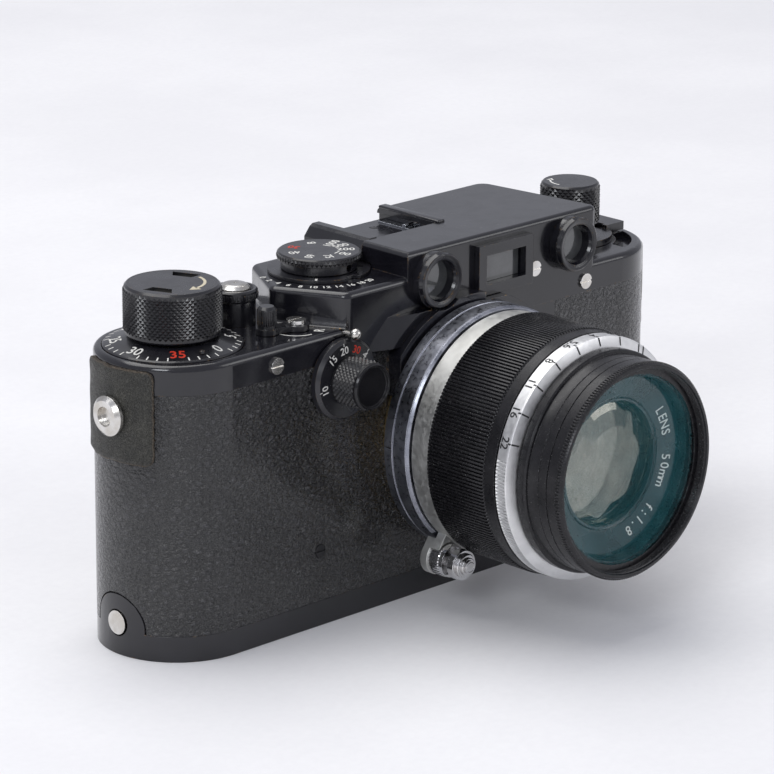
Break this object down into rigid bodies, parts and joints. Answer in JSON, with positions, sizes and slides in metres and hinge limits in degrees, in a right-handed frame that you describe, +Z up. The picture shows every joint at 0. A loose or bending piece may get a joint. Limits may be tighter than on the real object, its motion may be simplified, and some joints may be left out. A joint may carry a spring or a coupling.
{
  "type": "rangefinder camera",
  "caption": "Black screw-mount 35 mm rangefinder camera with a fast 50 mm lens: knob wind, lift-and-turn speed dial, separate finder windows and a bottom-loading body.",
  "frame": {"origin": "centre of the base plate's underside, halfway between the rounded ends", "axes": "+X from the winding knob end to the rewind knob end, the lens looks along -Y, +Z up"},
  "size_m": [0.141, 0.0777, 0.0692],
  "materials": {
    "black_enamel": "gloss",
    "black_knobs": "satin",
    "vulcanite": "pebbled, satin",
    "worn_leather": "worn, matt",
    "cast_alloy": "cast",
    "nickel": "polished",
    "black_screw": "satin",
    "plated_brass": "turned",
    "blued_steel": "blued",
    "spool_black": "anodised",
    "curtain_cloth": "rubberised cloth",
    "reminder_card": "matt",
    "satin_chrome": "satin chromed",
    "bright_chrome": "polished",
    "black_anodised": "anodised",
    "silver_aluminium": "satin",
    "optical_glass": "coated"
  },
  "bodies": {
    "camera_body": {"top_cover": "black_enamel", "mount_apron": "black_enamel", "viewfinder_frame": "black_enamel", "window_rings": "black_enamel", "eyepiece_rings": "black_enamel", "accessory_shoe": "black_enamel", "flash_socket": "black_enamel", "release_collar": "black_knobs", "leather_wrap": "vulcanite", "lug_pads": "worn_leather", "body_shell": "cast_alloy", "shutter_crate": "cast_alloy", "strap_lugs": "nickel", "cover_screws": "nickel", "base_hook_stud": "nickel", "shoe_spring": "nickel", "leather_screw": "black_screw", "mount_flange": "plated_brass", "curtain_rollers": "spool_black", "shutter_curtains": "curtain_cloth", "lens_base_ring": "satin_chrome", "window_glasses": "optical_glass", "finder_prisms": "optical_glass"},
    "base_plate": {"base_plate": "black_enamel", "tripod_bush": "plated_brass"},
    "base_lock": {"base_lock_disc": "plated_brass"},
    "base_handle": {"base_lock_handle": "nickel"},
    "wind_knob": {"wind_knob": "black_knobs", "wind_knob_cap": "black_knobs", "wind_shaft": "plated_brass", "take_up_spool": "spool_black"},
    "film_reminder": {"film_reminder_disc": "reminder_card"},
    "counter_dial": {"counter_dial": "black_knobs"},
    "sprocket": {"sprocket_shaft": "blued_steel"},
    "rewind_shaft": {"rewind_shaft": "plated_brass"},
    "rewind_knob": {"rewind_knob": "black_knobs"},
    "diopter_lever": {"diopter_lever": "black_knobs"},
    "release_button": {"release_button": "nickel"},
    "rewind_release_lever": {"rewind_release_lever": "black_knobs"},
    "speed_spindle": {"speed_dial_spindle": "plated_brass", "shutter_drum": "spool_black"},
    "speed_dial": {"speed_dial": "black_knobs"},
    "sync_ring": {"sync_ring": "black_knobs"},
    "slow_speed_dial": {"slow_speed_dial": "black_knobs", "slow_speed_knob": "black_knobs"},
    "slow_dial_lock": {"slow_dial_lock": "nickel"},
    "focus_ring": {"focus_ring": "satin_chrome", "focus_grip": "black_anodised", "focus_knob": "bright_chrome"},
    "infinity_lock": {"infinity_lock_button": "bright_chrome"},
    "front_barrel": {"front_barrel": "black_anodised", "front_sleeve": "black_anodised", "name_ring": "black_anodised", "lens_elements": "optical_glass", "lens_cell": "black_anodised", "iris_blades": "blued_steel", "filter_ring": "black_anodised", "filter_glass": "optical_glass"},
    "aperture_ring": {"aperture_ring": "silver_aluminium"},
    "rf_cam_arm": {"rf_cam_arm": "plated_brass"}
  },
  "joints": [
    {"name": "base_plate_swing", "type": "hinge", "parent": "camera_body", "child": "base_plate", "pos_m": [-0.068, 0, 0.0062], "axis": [0, 1, 0], "range_deg": [0, 12]},
    {"name": "base_lock_turn", "type": "hinge", "parent": "base_plate", "child": "base_lock", "pos_m": [0.05, 0, 0.001], "axis": [0, 0, 1], "range_deg": [0, 180]},
    {"name": "base_handle_fold", "type": "hinge", "parent": "base_lock", "child": "base_handle", "pos_m": [0.05, 0, 0.00072], "axis": [-1, 0, 0], "range_deg": [0, 90]},
    {"name": "wind_knob_turn", "type": "hinge", "parent": "camera_body", "child": "wind_knob", "pos_m": [-0.0535, 0, 0.06], "axis": [0, 0, -1], "continuous": true},
    {"name": "film_reminder_turn", "type": "hinge", "parent": "wind_knob", "child": "film_reminder", "pos_m": [-0.0535, 0, 0.067], "axis": [0, 0, -1], "continuous": true},
    {"name": "counter_turn", "type": "hinge", "parent": "camera_body", "child": "counter_dial", "pos_m": [-0.0535, 0, 0.057], "axis": [0, 0, -1], "continuous": true},
    {"name": "sprocket_turn", "type": "hinge", "parent": "camera_body", "child": "sprocket", "pos_m": [-0.037, 0.0045, 0.03], "axis": [0, 0, -1], "continuous": true},
    {"name": "speed_spindle_turn", "type": "hinge", "parent": "camera_body", "child": "speed_spindle", "pos_m": [-0.0162, 0.0001, 0.06], "axis": [0, 0, -1], "continuous": true},
    {"name": "speed_dial_lift", "type": "slide", "parent": "speed_spindle", "child": "speed_dial", "axis": [0, 0, 1], "range_m": [0, 0.002], "stiffness_N_per_m": 250},
    {"name": "sync_ring_turn", "type": "hinge", "parent": "camera_body", "child": "sync_ring", "pos_m": [-0.0162, 0.0001, 0.0642], "axis": [0, 0, 1], "range_deg": [0, 90]},
    {"name": "slow_dial_turn", "type": "hinge", "parent": "camera_body", "child": "slow_speed_dial", "pos_m": [-0.0255, -0.0165, 0.0481], "axis": [0, -1, 0], "range_deg": [0, 270]},
    {"name": "slow_lock_press", "type": "slide", "parent": "camera_body", "child": "slow_dial_lock", "axis": [0, 1, 0], "range_m": [0, 0.0005], "stiffness_N_per_m": 300},
    {"name": "release_press", "type": "slide", "parent": "camera_body", "child": "release_button", "axis": [0, 0, -1], "range_m": [0, 0.002], "stiffness_N_per_m": 400},
    {"name": "rewind_lever_turn", "type": "hinge", "parent": "camera_body", "child": "rewind_release_lever", "pos_m": [-0.0308, -0.009, 0.058], "axis": [0, 0, 1], "range_deg": [-30, 15]},
    {"name": "rewind_turn", "type": "hinge", "parent": "camera_body", "child": "rewind_shaft", "pos_m": [0.0535, 0, 0.06], "axis": [0, 0, 1], "continuous": true},
    {"name": "rewind_knob_lift", "type": "slide", "parent": "rewind_shaft", "child": "rewind_knob", "axis": [0, 0, 1], "range_m": [0, 0.005]},
    {"name": "diopter_turn", "type": "hinge", "parent": "camera_body", "child": "diopter_lever", "pos_m": [0.0535, 0, 0.058], "axis": [0, 0, 1], "range_deg": [-30, 30]},
    {"name": "focus_turn", "type": "hinge", "parent": "camera_body", "child": "focus_ring", "pos_m": [0.00622, -0.028, 0.03334], "axis": [0, -1, 0], "range_deg": [0, 155]},
    {"name": "infinity_lock_press", "type": "slide", "parent": "focus_ring", "child": "infinity_lock", "axis": [0, 1, 0], "range_m": [0, 0.001], "stiffness_N_per_m": 300},
    {"name": "barrel_slide", "type": "slide", "parent": "camera_body", "child": "front_barrel", "axis": [0, -1, 0], "range_m": [0, 0.0028]},
    {"name": "aperture_turn", "type": "hinge", "parent": "front_barrel", "child": "aperture_ring", "pos_m": [0.00622, -0.0495, 0.03334], "axis": [0, -1, 0], "range_deg": [-30, 60]},
    {"name": "cam_arm_swing", "type": "hinge", "parent": "camera_body", "child": "rf_cam_arm", "pos_m": [0.025, -0.0076, 0.05], "axis": [0, 0, 1], "range_deg": [0, 9.5]}
  ],
  "couplings": [
    {"joint": "counter_turn", "follows": "wind_knob_turn", "ratio": 0.025},
    {"joint": "sprocket_turn", "follows": "wind_knob_turn", "ratio": -1},
    {"joint": "speed_spindle_turn", "follows": "wind_knob_turn", "ratio": 1},
    {"joint": "focus_turn", "follows": "barrel_slide", "rad_per_m": 966.16},
    {"joint": "cam_arm_swing", "follows": "barrel_slide", "rad_per_m": 53.6}
  ]
}
